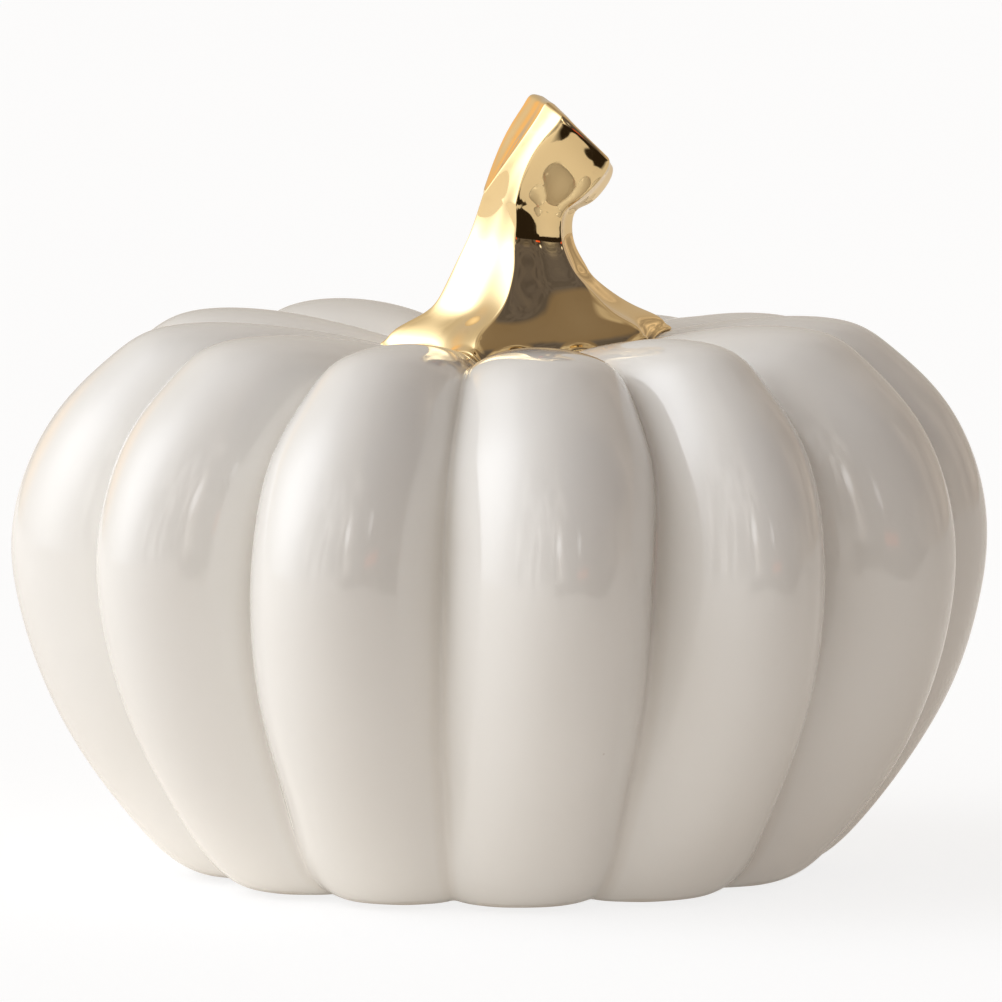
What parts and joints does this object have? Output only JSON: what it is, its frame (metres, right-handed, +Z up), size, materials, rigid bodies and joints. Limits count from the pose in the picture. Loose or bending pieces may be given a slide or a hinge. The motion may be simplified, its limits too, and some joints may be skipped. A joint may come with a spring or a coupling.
{
  "type": "ceramic pumpkin figure",
  "caption": "Decorative glazed ceramic pumpkin: a squat, lobed, cream-white hollow shell with a hooked, ridged, gold-plated stem bonded into the crown.",
  "frame": {"origin": "middle of the foot on the table plane, under the middle of the lobes", "axes": "+Z up towards the stem, -Y to the front, +X to the side the stem's cut end leans to"},
  "size_m": [0.1502, 0.1506, 0.1199],
  "materials": {
    "glaze": "cream-white high-gloss glaze",
    "gold": "mirror gold plating over a cast resin stem",
    "epoxy": "cured clear-amber epoxy",
    "pad": "soft translucent white"
  },
  "bodies": {
    "root": {"pumpkin_body": "glaze", "stem": "gold", "stem_adhesive": "epoxy", "base_pad_front_left": "pad", "base_pad_front_right": "pad", "base_pad_back_left": "pad", "base_pad_back_right": "pad"}
  },
  "joints": []
}
